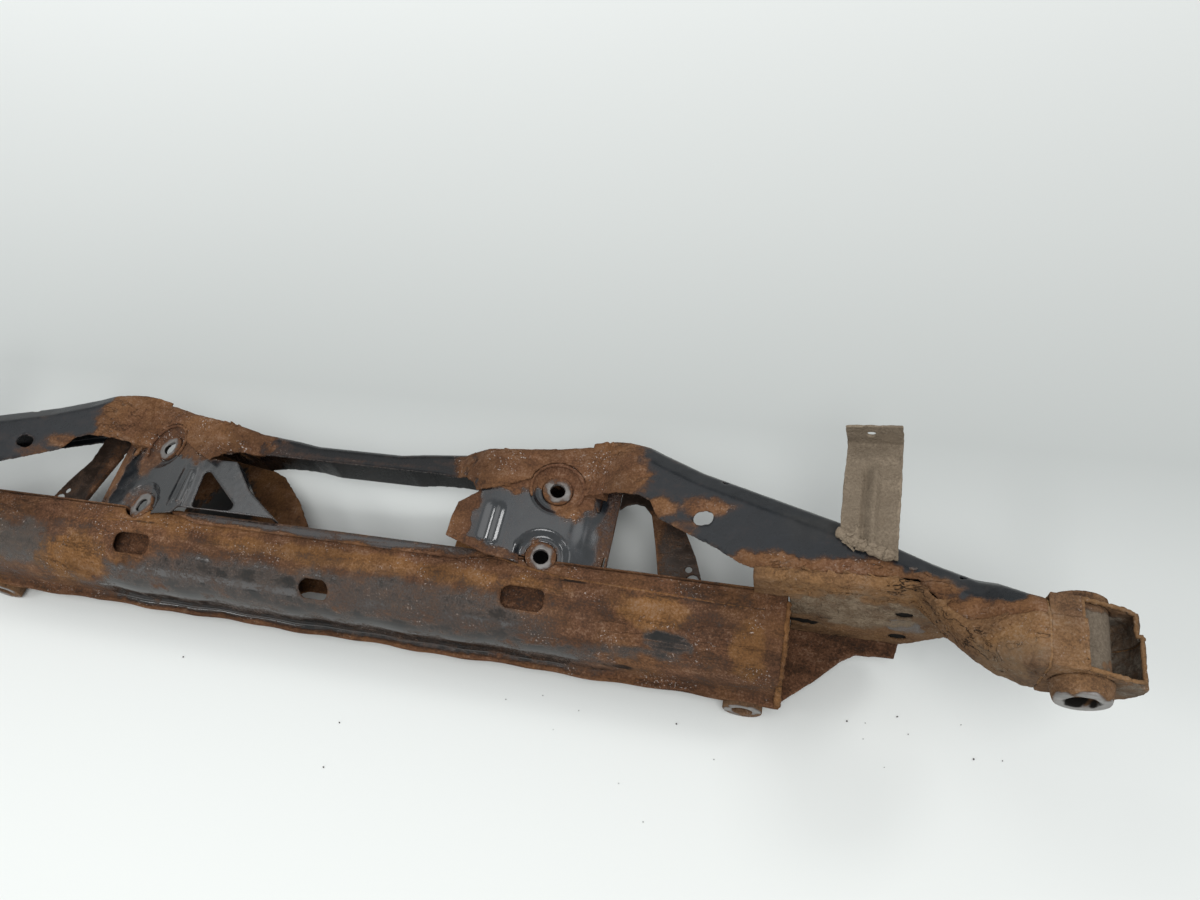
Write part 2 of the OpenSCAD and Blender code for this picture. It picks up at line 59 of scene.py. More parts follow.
across = (across - across.project(ahead)).normalized()
camera = bpy.data.objects.new("photo_camera", bpy.data.cameras.new("photo_camera"))
bpy.context.scene.collection.objects.link(camera)
camera.data.sensor_width = 36.0
camera.data.lens = 27.76
axes = Matrix((across, across.cross(ahead), -ahead)).transposed()
camera.matrix_world = Matrix.Translation(eye) @ axes.to_4x4()
bpy.context.scene.camera = camera
bpy.context.scene.view_settings.view_transform = "Standard"

# The table: a smooth white laminate top, so much larger than the part that its edge is out of
# view. It takes the part's soft shadow, and its colour holds painted shade and light as well: it is
# painted darker along the middle, behind the part, lighter on the left, where the lamps light it
# less, and greyer on the right. A few crumbs of rust have dropped beside the part.
TABLE_HALF = 6.0
TABLE_HEIGHT = -0.0004
TABLE_NEAR, TABLE_FAR = -0.30, 0.90
# Painted shade: these tones by depth make the table darker along the middle, behind the part.
TABLE_PAINTED_SHADE_TONES = (
    (0.00, (0.77, 0.79, 0.765, 1)),
    (0.17, (0.74, 0.76, 0.74, 1)),
    (0.40, (0.50, 0.52, 0.505, 1)),
    (0.62, (0.64, 0.66, 0.64, 1)),
    (1.00, (0.85, 0.87, 0.845, 1)),
)
# Painted light: the table's colour is made lighter towards the left and greyer towards the right.
TABLE_PAINTED_LIGHT_SIDES = {"From Min": -1.2, "From Max": 0.8, "To Min": 1.12, "To Max": 0.88}
table_sheet = bpy.data.meshes.new("table_top")
table_signs = ((-1, -1), (1, -1), (1, 1), (-1, 1))
table_corners = [(x * TABLE_HALF, y * TABLE_HALF, TABLE_HEIGHT) for x, y in table_signs]
table_sheet.from_pydata(table_corners, [], [(0, 1, 2, 3)])
table_top = bpy.data.objects.new("table_top", table_sheet)
bpy.context.scene.collection.objects.link(table_top)
laminate = bpy.data.materials.new("white_laminate")
laminate.use_nodes = True
laminate_nodes = laminate.node_tree.nodes
laminate_shader = laminate_nodes["Principled BSDF"]
laminate_shader.inputs["Roughness"].default_value = 0.55
laminate_shader.inputs["Specular IOR Level"].default_value = 0.2
table_place = laminate_nodes.new("ShaderNodeTexCoord")
table_axes = laminate_nodes.new("ShaderNodeSeparateXYZ")
table_depth = laminate_nodes.new("ShaderNodeMapRange")
table_depth.inputs["From Min"].default_value = TABLE_NEAR
table_depth.inputs["From Max"].default_value = TABLE_FAR
table_painted_shade = laminate_nodes.new("ShaderNodeValToRGB")
table_stops = table_painted_shade.color_ramp.elements
while len(table_stops) < len(TABLE_PAINTED_SHADE_TONES):
    table_stops.new(0.5)
for stop, (spot, tone) in zip(table_stops, TABLE_PAINTED_SHADE_TONES):
    stop.position = spot
    stop.color = tone
table_painted_light = laminate_nodes.new("ShaderNodeMapRange")
for socket, number in TABLE_PAINTED_LIGHT_SIDES.items():
    table_painted_light.inputs[socket].default_value = number
table_shade = laminate_nodes.new("ShaderNodeVectorMath")
table_shade.operation = "SCALE"
join = laminate.node_tree.links.new
join(table_place.outputs["Object"], table_axes.inputs[0])
join(table_axes.outputs["Y"], table_depth.inputs["Value"])
join(table_depth.outputs[0], table_painted_shade.inputs[0])
join(table_axes.outputs["X"], table_painted_light.inputs["Value"])
join(table_painted_shade.outputs[0], table_shade.inputs[0])
join(table_painted_light.outputs[0], table_shade.inputs["Scale"])
join(table_shade.outputs[0], laminate_shader.inputs["Base Color"])
table_sheet.materials.append(laminate)

CRUMBS, CRUMBS_BELOW_PAD = 22, 10
CRUMB_SIZES = (0.0003, 0.0004, 0.0005, 0.0008)
CRUMB_BROWN = (0.03, 0.022, 0.018, 1)
chance = random.Random(4)
crumb_shape = bmesh.new()
for i in range(CRUMBS):
    below_pad = i < CRUMBS_BELOW_PAD
    x = chance.gauss(0.47, 0.05) if below_pad else chance.uniform(-0.25, 0.62)
    y = chance.gauss(-0.085, 0.022) if below_pad else chance.uniform(-0.22, -0.10)
    size = chance.choice(CRUMB_SIZES)
    made = bmesh.ops.create_icosphere(crumb_shape, subdivisions=1, radius=size)
    for v in made["verts"]:
        v.co = Vector((x, y, size * 0.4)) + v.co * chance.uniform(0.6, 1.2)
crumb_sheet = bpy.data.meshes.new("crumbs")
crumb_shape.to_mesh(crumb_sheet)
crumb_shape.free()
crumbs = bpy.data.objects.new("crumbs", crumb_sheet)
bpy.context.scene.collection.objects.link(crumbs)
crumb_rust = bpy.data.materials.new("crumb_rust")
crumb_rust.use_nodes = True
crumb_rust.node_tree.nodes["Principled BSDF"].inputs["Base Color"].default_value = CRUMB_BROWN
crumb_sheet.materials.append(crumb_rust)

# The room: even daylight from pale walls, a wide lamp overhead on the camera's side, a weaker one
# behind, and four small windows whose reflections lie along the ribs, seats and glossy bends.
room = bpy.data.worlds.new("pale_room")
room.use_nodes = True
bpy.context.scene.world = room
room_nodes = room.node_tree.nodes
room_light = room_nodes["Background"]
room_light.inputs["Color"].default_value = (0.94, 0.97, 1.0, 1)
room_light.inputs["Strength"].default_value = 0.50
room_seen = room_nodes.new("ShaderNodeBackground")
room_seen.inputs["Color"].default_value = (0.80, 0.82, 0.81, 1)
which_ray = room_nodes.new("ShaderNodeLightPath")
seen_or_shiny = room_nodes.new("ShaderNodeMath")
seen_or_shiny.operation = "MAXIMUM"
seen_at_all = room_nodes.new("ShaderNodeMath")
seen_at_all.operation = "MAXIMUM"
room_mix = room_nodes.new("ShaderNodeMixShader")
wire = room.node_tree.links.new
wire(which_ray.outputs["Is Camera Ray"], seen_or_shiny.inputs[0])
wire(which_ray.outputs["Is Glossy Ray"], seen_or_shiny.inputs[1])
wire(seen_or_shiny.outputs[0], seen_at_all.inputs[0])
wire(which_ray.outputs["Is Transmission Ray"], seen_at_all.inputs[1])
wire(seen_at_all.outputs[0], room_mix.inputs[0])
wire(room_light.outputs[0], room_mix.inputs[1])
wire(room_seen.outputs[0], room_mix.inputs[2])
wire(room_mix.outputs[0], room_nodes["World Output"].inputs["Surface"])


def soft_lamp(name, place, aim, wide, high, watts):
    """A rectangular lamp that the camera doesn't see, turned towards a point; metres."""
    lamp = bpy.data.lights.new(name, "AREA")
    lamp.shape = "RECTANGLE"
    lamp.size = wide
    lamp.size_y = high
    lamp.energy = watts
    holder = bpy.data.objects.new(name, lamp)
    bpy.context.scene.collection.objects.link(holder)
    holder.location = place
    holder.visible_camera = False
    holder.rotation_euler = (Vector(aim) - Vector(place)).to_track_quat("-Z", "Y").to_euler()


soft_lamp("overhead_lamp", (0.75, -0.85, 2.1), (0.1, 0, 0.05), 1.1, 1.1, 28)
soft_lamp("back_lamp", (-0.8, 0.9, 2.3), (0, 0, 0.05), 1.6, 1.2, 10)
soft_lamp("right_window", (2.2, 1.1, 2.2), (0.2, 0, 0.05), 0.6, 0.6, 15)
soft_lamp("far_window", (0.57, 0.95, 2.3), (0.2, 0, 0.05), 0.45, 0.45, 0.8)
soft_lamp("left_window", (-1.7, -0.82, 2.2), (-0.1, -0.08, 0.04), 0.9, 0.28, 8)
soft_lamp("low_window", (-0.97, -1.8, 0.45), (-0.05, -0.08, 0.06), 1.7, 0.6, 7)

# Lower beam: a long trough pressed from 2.5 mm steel, with an upper band, a round web and a lip.
# The black paint has held on the middle of the web, and rust has taken the band, the lip and
# both ends.
MM = 0.001
FULL_TURN = 6.2832


def pressing(node, voxel, soften):
    """A skin over a CAD node with the soft bends and worn edges of a pressed sheet; sizes in mm."""
    shape = bmesh.new()
    shape.from_mesh(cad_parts[node].data)
    bmesh.ops.remove_doubles(shape, verts=shape.verts, dist=1e-6)
    sharp = bpy.data.meshes.new(node)
    shape.to_mesh(sharp)
    shape.free()
    piece = bpy.data.objects.new(node + "_pressing", sharp)
    bpy.context.scene.collection.objects.link(piece)
    rounded(piece, voxel, soften)
    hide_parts(node)
    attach(piece, "root")
    return piece


def rounded(piece, voxel, soften):
    """Turns a sharp solid into an even skin and relaxes its edges."""
    skin = piece.modifiers.new("skin", "REMESH")
    skin.mode = "VOXEL"
    skin.voxel_size = voxel * MM
    skin.use_smooth_shade = True
    bends = piece.modifiers.new("bends", "SMOOTH")
    bends.factor = 0.5
    bends.iterations = soften
    worn = piece.evaluated_get(bpy.context.evaluated_depsgraph_get())
    piece.data = bpy.data.meshes.new_from_object(worn)
    piece.modifiers.clear()
    piece.data.materials.clear()


def ragged(points):
    """Uneven values about zero, from waves of four lengths in mm, that break up a patch's outline."""
    value = np.zeros(len(points))
    for k, (wave, weight) in enumerate(((41, 0.5), (23, 0.45), (12, 0.35), (6.5, 0.25))):
        for j in range(4):
            turns = (1.7 * k + 2.1 * j, 2.3 * k + 1.3 * j, 0.9 * k + 3.1 * j + 1)
            way = np.array([np.sin(turns[0]), np.cos(turns[1]), np.sin(turns[2])])
            way *= FULL_TURN / wave / np.linalg.norm(way)
            value += weight * 0.5 * np.sin(points / MM @ way + 1.9 * k + 2.7 * j)
    return value


def spread(points, base, patches):
    """A value over the points: the base, with each soft-edged patch laid over the last; mm."""
    value = np.full(len(points), base, dtype=np.float32)
    uneven = 0.26 * ragged(points) if patches else 0
    for centre, reach, amount in patches:
        away = np.linalg.norm((points / MM - centre) / reach, axis=1) + uneven
        fade = np.clip((1.25 - away) / 0.6, 0, 1)
        value += (amount - value) * fade * fade * (3 - 2 * fade)
    return value


SCAB_GRAINS = ((95, 0.6), (260, 0.5), (35, 0.4))


def weather(piece, rust, mud=(0.0, []), warm=(0.4, []), painted_shade=(0.0, []), scab=0.5, waves=None,
            dust_and_painted_sheen=0.0, most=40000):
    """Writes where rust, mud, warm tones, painted shade and worn edges lie, and lifts the sheet in scabs.

    The first four are each a base value and its patches; the fourth is painted shade, black laid into
    bores, creases, gaps and corners. Scab is the height of the scabs in mm, waves a further shift of
    the points, dusty the mud on faces that look up, which is partly painted sheen that lightens them,
    and most the number of triangles that the piece may keep.
    """
    mesh = piece.data
    count = len(mesh.vertices)
    points = np.empty(count * 3, dtype=np.float32)
    mesh.vertices.foreach_get("co", points)
    points = points.reshape(-1, 3)
    normals = np.empty(count * 3, dtype=np.float32)
    mesh.vertices.foreach_get("normal", normals)
    normals = normals.reshape(-1, 3)
    ends = np.empty(len(mesh.edges) * 2, dtype=np.int32)
    mesh.edges.foreach_get("vertices", ends)
    a, b = ends.reshape(-1, 2).T
    around, ties = np.zeros((count, 3)), np.zeros(count)
    np.add.at(around, a, points[b])
    np.add.at(around, b, points[a])
    np.add.at(ties, a, 1)
    np.add.at(ties, b, 1)
    step = np.linalg.norm(points[a] - points[b], axis=1).mean()
    hump = ((points - around / ties[:, None]) * normals).sum(axis=1) / step
    covers = {"rust": rust, "mud": mud, "warm": warm, "painted_shade": painted_shade}
    values = {name: spread(points, *cover) for name, cover in covers.items()}
    # Faces that look towards +Y get lighter dust: partly road dust, partly painted sheen for the light
    # those faces catch.
    values["mud"] += dust_and_painted_sheen * np.clip(normals[:, 1] - 0.3, 0, 1)
    values["edge"] = np.clip(hump * 4, 0, 1)
    for name, value in values.items():
        layer = mesh.attributes.new(name, "FLOAT", "POINT")
        layer.data.foreach_set("value", value.astype(np.float32))
    crust = np.clip(values["rust"] * 1.3 - 0.2, 0, 1) ** 2 + values["mud"]
    lift = np.zeros(count)
    for i in np.nonzero(crust > 0.02)[0]:
        p = Vector(points[i])
        lift[i] = sum(noise.noise(p * grain) * height for grain, height in SCAB_GRAINS)
    points += normals * (lift * crust * scab * MM)[:, None]
    if waves:
        points += waves(points)
    points = np.clip(points, np.array(cad_box[0]), np.array(cad_box[1]))
    mesh.vertices.foreach_set("co", points.astype(np.float32).ravel())
    mesh.update()
    triangles = sum(len(p.vertices) - 2 for p in mesh.polygons)
    if triangles > most:
        fewer = piece.modifiers.new("fewer", "DECIMATE")
        fewer.ratio = most / triangles
        light = piece.evaluated_get(bpy.context.evaluated_depsgraph_get())
        piece.data = bpy.data.meshes.new_from_object(light)
        piece.modifiers.clear()


GREY_MUD = ((0.11, 0.092, 0.070), (0.23, 0.195, 0.155))
ROAD_DUST = (0.085, 0.077, 0.064, 1)
BARE_EDGE = (0.20, 0.19, 0.175, 1)
CRACK_BLACK = (0.010, 0.007, 0.005, 1)
SALT_WHITE = (0.55, 0.47, 0.42, 1)
# The black of painted shade, laid into bores, creases, gaps and corners.
PAINTED_SHADE_BLACK = (0.007, 0.006, 0.005, 1)
RUST_THROUGH = 1.53
RUST_ROUGHNESS = 0.90
RUST_GLINT = 0.1


def weathered_steel(name, paint, shine, rusts, mud=GREY_MUD, cracks=0.0, salt=0.0,
                    streaks=(0.3, 1.0, 1.0), fade=0.17, glint=0.4):
    """Old paint on steel that rust and dried mud have covered where the piece's own values say.

    Shine is the paint's roughness and glint its specular level. Rusts are five tones: pit, dark,
    middle, ochre and pale. Streaks stretch the grain, and fade softens the edge of the paint.
    """
    made = bpy.data.materials.new(name)
    made.use_nodes = True
    tree = made.node_tree
    shader = tree.nodes["Principled BSDF"]

    def add(kind, sockets, **settings):
        node = tree.nodes.new("ShaderNode" + kind)
        for key, value in settings.items():
            setattr(node, key, value)
        for key, value in sockets.items():
            if isinstance(value, bpy.types.NodeSocket):
                tree.links.new(value, node.inputs[key])
            else:
                node.inputs[key].default_value = value
        return node

    def math(operation, *values):
        return add("Math", dict(enumerate(values)), operation=operation).outputs[0]

    def product(first, *others):
        for value in others:
            first = math("MULTIPLY", first, value)
        return first

    def total(first, *weighted):
        for value, weight in weighted:
            first = math("MULTIPLY_ADD", value, weight, first)
        return first

    def ramp(factor, stops):
        node = add("ValToRGB", {0: factor})
        stops_made = node.color_ramp.elements
        while len(stops_made) < len(stops):
            stops_made.new(0.5)
        for element, (place, colour) in zip(stops_made, stops):
            element.position = place
            element.color = (*colour, 1)
        return node.outputs[0]

    def step(value, low, high, to_low=0.0, to_high=1.0):
        sockets = {"Value": value, "From Min": low, "From Max": high, "To Min": to_low, "To Max": to_high}
        return add("MapRange", sockets, interpolation_type="SMOOTHSTEP").outputs[0]

    def mixed(factor, a, b):
        return add("Mix", {0: factor, 6: a, 7: b}, data_type="RGBA").outputs[2]

    def cloud(scale, detail, roughness=0.62, where=None):
        sockets = {"Vector": where or place, "Scale": scale, "Detail": detail, "Roughness": roughness}
        return add("TexNoise", sockets).outputs["Fac"]

    def value_of(attribute):
        return add("Attribute", {}, attribute_name=attribute).outputs["Fac"]

    def tinted(strength, white=0.0):
        return tuple(strength * c + white for c in paint) + (1,)

    place = add("TexCoord", {}).outputs["Object"]
    drawn = add("Mapping", {"Vector": place, "Scale": streaks}).outputs[0]
    rust, mud_here, warm = value_of("rust"), value_of("mud"), value_of("warm")
    painted_shade, edge = value_of("painted_shade"), value_of("edge")
    broad, patch = cloud(17, 5), cloud(80, 8, 0.70)
    streak, grain = cloud(75, 7, 0.68, drawn), cloud(560, 4, 0.72)
    reach = total(rust, (broad, 0.55), (patch, 0.65), (streak, 0.45), (grain, 0.45), (edge, 0.25))
    cover = step(reach, RUST_THROUGH - fade, RUST_THROUGH + fade)

    pit, dark, middle, ochre, pale = rusts
    tone = total(math("MULTIPLY", patch, 0.40), (streak, 0.40), (grain, 0.60))
    brown = ramp(tone, [(0.46, pit), (0.60, dark), (0.74, middle), (0.98, pale)])
    yellow = ramp(tone, [(0.48, dark), (0.72, ochre), (1.0, pale)])
    rust_colour = mixed(step(total(warm, (cloud(24, 4), 0.8)), 0.62, 1.16), brown, yellow)
    shade = step(cloud(11, 4), 0.36, 0.60, 0.35, 0.0)
    rust_colour = mixed(shade, rust_colour, (*pit, 1))

    paint_colour = mixed(step(patch, 0.35, 0.70), tinted(0.7), tinted(1.2))
    scuff = product(step(cloud(210, 3, 0.7, drawn), 0.58, 0.72), 0.25)
    paint_colour = mixed(scuff, paint_colour, tinted(2.2, 0.006))
    film = product(step(reach, 1.12, 1.46), 0.45)
    paint_colour = mixed(film, paint_colour, (*dark, 1))
    worn = product(step(edge, 0.45, 0.8), step(grain, 0.4, 0.6), 0.5)
    paint_colour = mixed(worn, paint_colour, BARE_EDGE)
    colour = mixed(cover, paint_colour, rust_colour)
    height = total(math("MULTIPLY", grain, 0.55), (patch, 0.7), (streak, 0.5))
    height = product(math("ADD", height, 0.4), cover)

    if cracks:
        layer = math("ABSOLUTE", math("SUBTRACT", cloud(70, 5, 0.62, drawn), 0.5))
        gate = step(cloud(26, 3, 0.6, drawn), 0.48, 0.60)
        crack = product(step(layer, 0.0, 0.020, 1.0, 0.0), gate, cover, cracks)
        colour = mixed(crack, colour, CRACK_BLACK)
        height = total(height, (crack, -2.2))
    if salt:
        fleck = product(step(cloud(620, 2, 0.5), 0.62, 0.69), step(cloud(38, 4), 0.50, 0.62))
        fleck = product(fleck, step(reach, 1.30, 1.45), salt)
        colour = mixed(fleck, colour, SALT_WHITE)
        height = total(height, (fleck, 0.8))
    # Road dust lightens the colour; where it comes from the up-looking faces it is partly painted sheen.
    dust = product(step(total(mud_here, (patch, 0.4)), 0.2, 0.9), 0.55)
    colour = mixed(dust, colour, ROAD_DUST)
    dried = step(total(mud_here, (patch, 0.7), (grain, 0.3)), 0.92, 1.08)
    mud_tone = total(math("MULTIPLY", patch, 0.3), (grain, 0.7))
    colour = mixed(dried, colour, ramp(mud_tone, [(0.36, mud[0]), (0.66, mud[1])]))
    height = total(height, (product(dried, grain), 0.9))
    # Painted shade: black laid in where the piece's shade value says, standing in for the shade in bores,
    # creases and gaps.
    painted_shade_mask = step(total(painted_shade, (patch, 0.4), (grain, 0.4)), 0.62, 1.10)
    colour = mixed(painted_shade_mask, colour, PAINTED_SHADE_BLACK)

    hidden = math("MAXIMUM", math("MAXIMUM", cover, painted_shade_mask), math("MAXIMUM", dried, dust))
    bare = math("SUBTRACT", 1.0, hidden)
    gloss = step(patch, 0.3, 0.75, shine - 0.02, shine + 0.07)
    gloss = math("MULTIPLY_ADD", math("SUBTRACT", gloss, RUST_ROUGHNESS), bare, RUST_ROUGHNESS)
    gleam = math("MULTIPLY_ADD", bare, glint - RUST_GLINT, RUST_GLINT)
    bump = add("Bump", {"Height": height, "Strength": 0.85, "Distance": 0.0008})
    tree.links.new(colour, shader.inputs["Base Color"])
    tree.links.new(gloss, shader.inputs["Roughness"])
    tree.links.new(gleam, shader.inputs["Specular IOR Level"])
    tree.links.new(bump.outputs[0], shader.inputs["Normal"])
    return made


LIP_TOP, LIP_DEPTH = -0.078, 0.008


def wavy_lip(points):
    """The lip has swollen unevenly along its free edge."""
    low = np.clip((LIP_TOP - points[:, 1]) / LIP_DEPTH, 0, 1)
    shift = np.zeros_like(points)
    along = points[:, 0]
    shift[:, 1] = low * (0.0007 * np.sin(along * 47) + 0.0005 * np.sin(along * 121 + 2))
    return shift


beam = pressing("lower_beam_shell", 1.4, 5)
beam_rust = [
    ((0, -26, 93), (420, 22, 40), 0.88),      # the band
    ((0, -50, 91), (420, 8, 20), 0.62),       # the bend below the band
    ((-60, -72, 80), (170, 16, 30), 0.26),    # paint on the middle of the web
    ((95, -70, 82), (110, 18, 30), 0.34),
    ((-320, -70, 80), (70, 26, 40), 0.36),    # paint near the left end
    ((-240, -74, 77), (34, 26, 30), 0.85),    # the orange patch left of the slot
    ((-196, -58, 90), (40, 14, 24), 0.70),
    ((300, -60, 88), (100, 24, 40), 0.66),    # the right end
    ((300, -70, 82), (18, 7, 12), 0.02),      # the black spot of paint in it
    ((276, -80, 76), (36, 5, 16), 0.20),
    ((372, -62, 85), (14, 34, 40), 0.92),     # along the end weld
    ((0, -85, 50), (300, 7, 34), 0.18),       # paint on the lower bend
    ((-320, -86, 45), (90, 8, 60), 0.60),
    ((330, -86, 45), (90, 8, 60), 0.66),
    ((0, -93, 30), (420, 5, 60), 0.75),       # the lip
]
beam_mud = [
    ((-325, -66, 84), (66, 22, 40), 0.34),
    ((60, -64, 86), (190, 12, 30), 0.18),
]
beam_warm = [
    ((-240, -74, 77), (36, 28, 30), 0.75),
    ((285, -52, 91), (30, 12, 20), 0.70),
    ((360, -70, 84), (14, 18, 30), 0.7),
    ((40, -44, 93), (160, 8, 20), 0.62),
    ((-140, -30, 93), (60, 10, 20), 0.55),
]
# Painted shade: thin black lines in the fold of the lip and under the lapped edge along the band.
beam_painted_shade = [
    ((255, -86, 48), (60, 2.5, 9), 0.6),
    ((215, -36.5, 93), (26, 1.2, 12), 0.6),
    ((320, -39, 93), (70, 1.0, 12), 0.5),
    ((-175, -35, 93), (30, 1.2, 12), 0.5),
]
weather(beam, (0.55, beam_rust), (0.0, beam_mud), (0.34, beam_warm), (0.0, beam_painted_shade), scab=0.8,
        waves=wavy_lip, most=120000)
BROWN_RUST = ((0.014, 0.008, 0.005), (0.055, 0.028, 0.016), (0.125, 0.058, 0.031),
              (0.20, 0.095, 0.034), (0.30, 0.20, 0.135))
beam_paint = weathered_steel("beam_black_paint_and_rust", (0.010, 0.0098, 0.0094), 0.12, BROWN_RUST,
                             cracks=0.35, salt=0.6, streaks=(0.2, 1.0, 1.0), fade=0.26, glint=0.36)
beam.data.materials.append(beam_paint)

# Front plate: a sheet that closes the trough above and in front, welded along the top and the lip.
# A lapped edge runs on from the middle across the beam's band towards both ends, as a raised and
# rusty line.
front_plate = pressing("lower_beam_front_plate", 1.7, 3)
plate_paint = [((-5, -22, 94), (150, 8, 14), 0.10), ((0, -22, 50), (60, 8, 60), 0.3)]
weather(front_plate, (0.62, plate_paint), scab=0.6, waves=wavy_lip)
plate_rust = weathered_steel("plate_black_paint_and_rust", (0.013, 0.014, 0.016), 0.24, BROWN_RUST,
                             cracks=0.5, salt=0.2)
front_plate.data.materials.append(plate_rust)


def extra(name, verts, faces, voxel=0, soften=0):
    """A solid that is not a CAD node, such as a weld or a doubler; mm."""
    sharp = bpy.data.meshes.new(name)
    sharp.from_pydata([tuple(c * MM for c in v) for v in verts], [], faces)
    shape = bmesh.new()
    shape.from_mesh(sharp)
    bmesh.ops.recalc_face_normals(shape, faces=shape.faces)
    shape.to_mesh(sharp)
    shape.free()
    sharp.shade_smooth()
    piece = bpy.data.objects.new(name, sharp)
    bpy.context.scene.collection.objects.link(piece)
    if voxel:
        rounded(piece, voxel, soften)
    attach(piece, "root")
    return piece


BEAD_SIDES = 9
BEAD_STEP = 1.5
BEAD_FACING = Vector((0.31, 0.22, 0.92))


def bead(name, path, radius, seed):
    """A lumpy run of weld along a path; mm."""
    chance = random.Random(seed)
    line = [Vector(p) for p in path]
    spots = []
    for p, q in zip(line, line[1:]):
        steps = max(1, int((q - p).length / BEAD_STEP))
        spots += [p.lerp(q, k / steps) for k in range(steps)]
    spots.append(line[-1])
    verts, faces, last = [], [], len(spots) - 1
    for i, p in enumerate(spots):
        forward = (spots[min(i + 1, last)] - spots[max(i - 1, 0)]).normalized()
        side = forward.cross(BEAD_FACING).normalized()
        up = side.cross(forward)
        thick = radius * (0.75 + 0.3 * abs(np.sin(i * 0.8)) + chance.uniform(-0.15, 0.2))
        thick *= 0.5 if i in (0, last) else 1
        for k in range(BEAD_SIDES):
            turn = FULL_TURN * k / BEAD_SIDES
            verts.append(p + (side * np.cos(turn) + up * np.sin(turn)) * thick)
    for i in range(0, BEAD_SIDES * last, BEAD_SIDES):
        for k in range(BEAD_SIDES):
            n = (k + 1) % BEAD_SIDES
            faces.append((i + k, i + n, i + BEAD_SIDES + n, i + BEAD_SIDES + k))
    faces += [tuple(range(BEAD_SIDES)), tuple(range(BEAD_SIDES * last, BEAD_SIDES * last + BEAD_SIDES))]
    return extra(name, verts, faces)


lap_lines = {
    "right": [(142, -21, 92.9), (172, -29, 92.9), (208, -34.5, 92.9), (272, -36, 92.8),
              (334, -38, 92.6), (380, -40, 92.3)],
    "left": [(-380, -42, 92.2), (-300, -41.5, 92.3), (-260, -41, 92.4), (-199, -36, 92.8),
             (-160, -30, 92.9)],
}
for side, path in lap_lines.items():
    lap_edge = bead(f"{side}_lap_edge", path, 1.1, len(path))
    weather(lap_edge, (0.85, []), warm=(0.55, []), scab=0.4)
    lap_edge.data.materials.append(plate_rust)

# Slot doublers: a bent plate spot-welded to the back of the web behind each side slot.
# It is rusted brown like the rest of the beam's inside.
SIDES = (("left", -1), ("right", 1))
SLOT_X = 178
DOUBLER_ENDS = (-38, 38)
doubler_outline = [(-30, 90.6), (-38, 78), (-64, 74), (-78, 68.5), (-78, 66.5), (-64, 72), (-37, 76),
                   (-28, 88.6)]


def prism(name, near_end, far_end, slot, voxel, soften):
    """A solid between two outlines that have the same number of corners; mm."""
    n = len(near_end)
    faces = [(k, (k + 1) % n, n + (k + 1) % n, n + k) for k in range(n)]
    faces += [tuple(range(n)), tuple(range(n, 2 * n))]
    return extra(name, near_end + far_end, faces, voxel, soften)


for side, sign in SIDES:
    ends = [[(sign * SLOT_X + end, y, z) for y, z in doubler_outline] for end in DOUBLER_ENDS]
    doubler = prism(f"{side}_slot_doubler", *ends, "beam_rust", 1.0, 2)
    weather(doubler, (0.60, []), warm=(0.2, []), scab=0.4)
    doubler.data.materials.append(plate_rust)

# Tower plates: thin pressings that carry the suspension links, with two dished seats each.
# They are welded to the beam below and to the upper beam's wings, and their blue-black paint
# has lasted best on the flat below the upper seat.
TOWER_RUST = ((0.022, 0.013, 0.009), (0.062, 0.030, 0.018), (0.125, 0.058, 0.032),
              (0.185, 0.090, 0.038), (0.30, 0.205, 0.145))
tower_paint = weathered_steel("tower_blue_black_paint", (0.012, 0.0145, 0.018), 0.15, TOWER_RUST,
                              salt=0.9, streaks=(1, 0.4, 1), glint=0.6)
RIB_SOFTEN = 60


def eased(piece, low, high, soften):
    """Relaxes the part of a skin between two corners further, as where a rib is pressed; mm."""
    box = tuple(zip(low, high))
    inside = [v.index for v in piece.data.vertices
              if all(least <= c / MM <= most for c, (least, most) in zip(v.co, box))]
    piece.vertex_groups.new(name="eased").add(inside, 1.0, "REPLACE")
    ease = piece.modifiers.new("ease", "SMOOTH")
    ease.factor = 0.5
    ease.iterations = soften
    ease.vertex_group = "eased"
    smooth = piece.evaluated_get(bpy.context.evaluated_depsgraph_get())
    piece.data = bpy.data.meshes.new_from_object(smooth)
    piece.modifiers.clear()
    piece.vertex_groups.clear()


def round_cheek(points):
    """The sheet is pressed out a little on the outer side of the two seats."""
    x, y = points[:, 0] / MM, points[:, 1] / MM
    shift = np.zeros_like(points)
    shift[:, 2] = 2.2 * MM * np.exp(-((x - 219) / 9) ** 2 - ((y - 8) / 24) ** 2)
    return shift


right_tower = pressing("right_tower_plate", 0.75, 10)
eased(right_tower, (130, -16, 80), (168, 32, 125), RIB_SOFTEN)
right_tower_rust = [
    ((116, 12, 112), (16, 40, 30), 0.85),     # the inner edge
    ((140, 46, 105), (38, 18, 30), 0.85),     # below the upper beam's wing
    ((192, 54, 95), (40, 16, 30), 0.85),      # above the upper seat
    ((204, 40, 92), (26, 20, 20), 0.72),      # outside the upper seat
    ((236, 20, 84), (9, 60, 30), 0.45),       # the outer edge
    ((188, -18, 93), (15, 13, 20), 0.55),     # round the lower boss
    ((130, -22, 108), (30, 6, 20), 0.62),     # the foot
    ((160, -24, 100), (20, 5, 20), 0.55),
]
weather(right_tower, (0.06, right_tower_rust), scab=0.6, waves=round_cheek, most=55000)
right_tower.data.materials.append(tower_paint)

